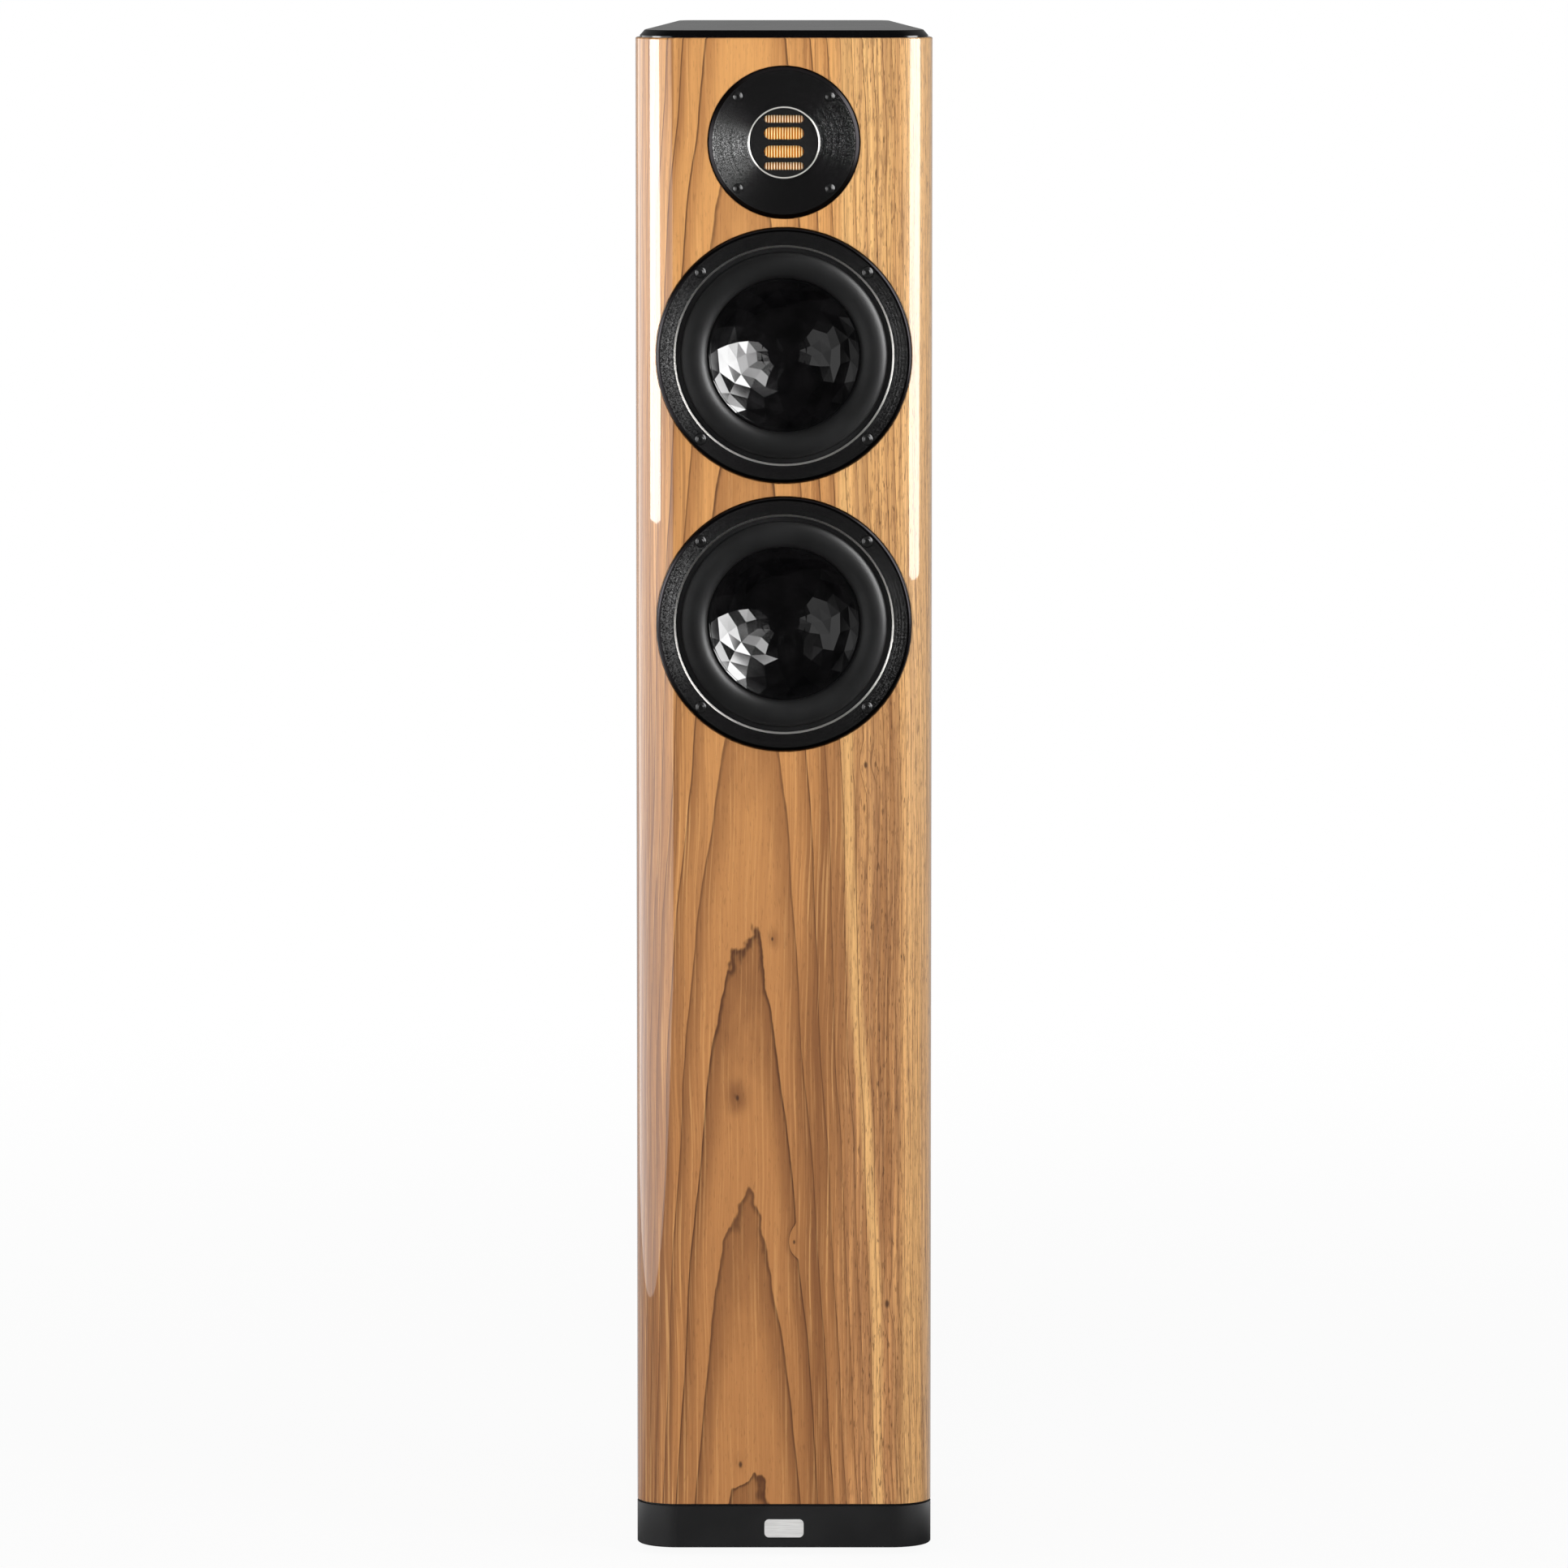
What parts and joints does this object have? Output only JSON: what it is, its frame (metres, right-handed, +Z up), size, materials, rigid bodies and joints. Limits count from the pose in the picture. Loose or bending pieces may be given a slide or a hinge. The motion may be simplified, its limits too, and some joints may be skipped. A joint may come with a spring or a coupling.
{
  "type": "floorstanding speaker",
  "caption": "Slim tower speaker: walnut cabinet with rounded front edges, faceted-cone woofers, pleated-membrane tweeter, rear port and binding posts, on a low plinth.",
  "frame": {"origin": "on the floor, under the middle of the speaker's bounding box", "axes": "+Z up, -Y out of the front baffle, +X to the right when facing the front"},
  "size_m": [0.203, 0.3174, 1.05],
  "materials": {
    "walnut_veneer": "clear gloss lacquer over walnut veneer",
    "wood_board": "raw medium-density board",
    "black_back": "satin black lacquer",
    "gloss_black_plate": "polished black acrylic",
    "anthracite_plinth": "satin anthracite paint",
    "black_gap": "matt black",
    "black_aluminium": "black satin, bright diamond-cut inner edge",
    "turned_black_aluminium": "black anodised, fine turned grooves",
    "surround_rubber": "smooth semi-gloss",
    "black_cone": "glossy, pressed in flat facets",
    "copper_winding": "enamelled copper on a light former",
    "spider_cloth": "impregnated cotton",
    "zinc_steel": "zinc plated",
    "black_steel": "blackened",
    "ferrite": "matt ferrite",
    "membrane_film": "amber film with foil tracks",
    "frame_laminate": "glass-fibre laminate",
    "polished_ring": "polished",
    "blank_badge": "brushed, blank",
    "gasket_foam": "closed-cell foam",
    "wadding_fibre": "polyester fibre",
    "moulded_black": "fine moulded texture",
    "gold_plate": "gold plated",
    "red_ring": "glossy",
    "black_ring": "glossy",
    "foot_rubber": "soft matt black rubber",
    "board_laminate": "green solder mask",
    "film_capacitor": "taped film",
    "resistor_ceramic": "white ceramic",
    "nylon": "natural nylon",
    "wire_sleeve": "soft sleeve"
  },
  "bodies": {
    "root": {"cabinet_shell": "walnut_veneer", "back_panel": "black_back", "top_panel": "wood_board", "bottom_panel": "wood_board", "window_braces": "wood_board", "damping_wadding": "wadding_fibre", "top_plate": "gloss_black_plate", "base_plinth": "anthracite_plinth", "plinth_spacer": "black_gap", "plinth_bolts": "black_steel", "name_badge": "blank_badge", "port_tube": "moulded_black", "terminal_plate": "moulded_black", "terminal_posts": "gold_plate", "terminal_nuts": "gold_plate", "terminal_screws": "black_steel", "crossover_board": "board_laminate", "crossover_standoffs": "nylon", "crossover_inductors": "copper_winding", "crossover_capacitors": "film_capacitor", "crossover_resistors": "resistor_ceramic", "internal_wiring": "wire_sleeve", "woofer_screws": "black_steel", "woofer_terminal_strips": "moulded_black", "driver_gaskets": "gasket_foam", "tweeter_faceplate": "turned_black_aluminium", "tweeter_trim_ring": "polished_ring", "tweeter_front_pole_plate": "black_steel", "tweeter_membrane": "membrane_film", "tweeter_membrane_frame": "frame_laminate", "tweeter_magnets": "ferrite", "tweeter_rear_pole_plate": "black_steel", "tweeter_rear_chamber": "moulded_black", "tweeter_screws": "black_steel", "upper_woofer_basket": "black_aluminium", "upper_woofer_surround": "surround_rubber", "upper_woofer_spider": "spider_cloth", "upper_woofer_motor_steel": "zinc_steel", "upper_woofer_magnet": "ferrite", "lower_woofer_basket": "black_aluminium", "lower_woofer_surround": "surround_rubber", "lower_woofer_spider": "spider_cloth", "lower_woofer_motor_steel": "zinc_steel", "lower_woofer_magnet": "ferrite"},
    "upper_cone": {"upper_woofer_cone": "black_cone", "upper_woofer_voice_coil": "copper_winding"},
    "lower_cone": {"lower_woofer_cone": "black_cone", "lower_woofer_voice_coil": "copper_winding"},
    "washer_red": {"terminal_washer_red": "red_ring"},
    "knob_red": {"terminal_knob_red": "gold_plate"},
    "washer_black": {"terminal_washer_black": "black_ring"},
    "knob_black": {"terminal_knob_black": "gold_plate"},
    "pad_front_left": {"foot_pad_front_left": "foot_rubber"},
    "stud_front_left": {"foot_stud_front_left": "zinc_steel"},
    "pad_front_right": {"foot_pad_front_right": "foot_rubber"},
    "stud_front_right": {"foot_stud_front_right": "zinc_steel"},
    "pad_rear_left": {"foot_pad_rear_left": "foot_rubber"},
    "stud_rear_left": {"foot_stud_rear_left": "zinc_steel"},
    "pad_rear_right": {"foot_pad_rear_right": "foot_rubber"},
    "stud_rear_right": {"foot_stud_rear_right": "zinc_steel"}
  },
  "joints": [
    {"name": "upper_cone_travel", "type": "slide", "parent": "root", "child": "upper_cone", "axis": [0, -1, 0], "range_m": [-0.006, 0.006], "stiffness_N_per_m": 1000, "deforming": ["upper_woofer_surround", "upper_woofer_spider"]},
    {"name": "lower_cone_travel", "type": "slide", "parent": "root", "child": "lower_cone", "axis": [0, -1, 0], "range_m": [-0.006, 0.006], "stiffness_N_per_m": 1000, "deforming": ["lower_woofer_surround", "lower_woofer_spider"]},
    {"name": "washer_red_slide", "type": "slide", "parent": "root", "child": "washer_red", "axis": [0, 1, 0], "range_m": [0, 0.005]},
    {"name": "knob_red_turn", "type": "hinge", "parent": "washer_red", "child": "knob_red", "pos_m": [0.019, 0.1507, 0.15], "axis": [0, 1, 0], "range_deg": [0, 1800]},
    {"name": "washer_black_slide", "type": "slide", "parent": "root", "child": "washer_black", "axis": [0, 1, 0], "range_m": [0, 0.005]},
    {"name": "knob_black_turn", "type": "hinge", "parent": "washer_black", "child": "knob_black", "pos_m": [-0.019, 0.1507, 0.15], "axis": [0, 1, 0], "range_deg": [0, 1800]},
    {"name": "pad_front_left_drop", "type": "slide", "parent": "root", "child": "pad_front_left", "axis": [0, 0, -1], "range_m": [0, 0.008]},
    {"name": "stud_front_left_turn", "type": "hinge", "parent": "pad_front_left", "child": "stud_front_left", "pos_m": [-0.075, -0.1083, 0.015], "axis": [0, 0, -1], "range_deg": [0, 2304]},
    {"name": "pad_front_right_drop", "type": "slide", "parent": "root", "child": "pad_front_right", "axis": [0, 0, -1], "range_m": [0, 0.008]},
    {"name": "stud_front_right_turn", "type": "hinge", "parent": "pad_front_right", "child": "stud_front_right", "pos_m": [0.075, -0.1083, 0.015], "axis": [0, 0, -1], "range_deg": [0, 2304]},
    {"name": "pad_rear_left_drop", "type": "slide", "parent": "root", "child": "pad_rear_left", "axis": [0, 0, -1], "range_m": [0, 0.008]},
    {"name": "stud_rear_left_turn", "type": "hinge", "parent": "pad_rear_left", "child": "stud_rear_left", "pos_m": [-0.055, 0.0867, 0.015], "axis": [0, 0, -1], "range_deg": [0, 2304]},
    {"name": "pad_rear_right_drop", "type": "slide", "parent": "root", "child": "pad_rear_right", "axis": [0, 0, -1], "range_m": [0, 0.008]},
    {"name": "stud_rear_right_turn", "type": "hinge", "parent": "pad_rear_right", "child": "stud_rear_right", "pos_m": [0.055, 0.0867, 0.015], "axis": [0, 0, -1], "range_deg": [0, 2304]}
  ],
  "couplings": [
    {"joint": "washer_red_slide", "follows": "knob_red_turn", "m_per_rad": 0.00015915},
    {"joint": "washer_black_slide", "follows": "knob_black_turn", "m_per_rad": 0.00015915},
    {"joint": "pad_front_left_drop", "follows": "stud_front_left_turn", "m_per_rad": 0.00019894},
    {"joint": "pad_front_right_drop", "follows": "stud_front_right_turn", "m_per_rad": 0.00019894},
    {"joint": "pad_rear_left_drop", "follows": "stud_rear_left_turn", "m_per_rad": 0.00019894},
    {"joint": "pad_rear_right_drop", "follows": "stud_rear_right_turn", "m_per_rad": 0.00019894}
  ]
}
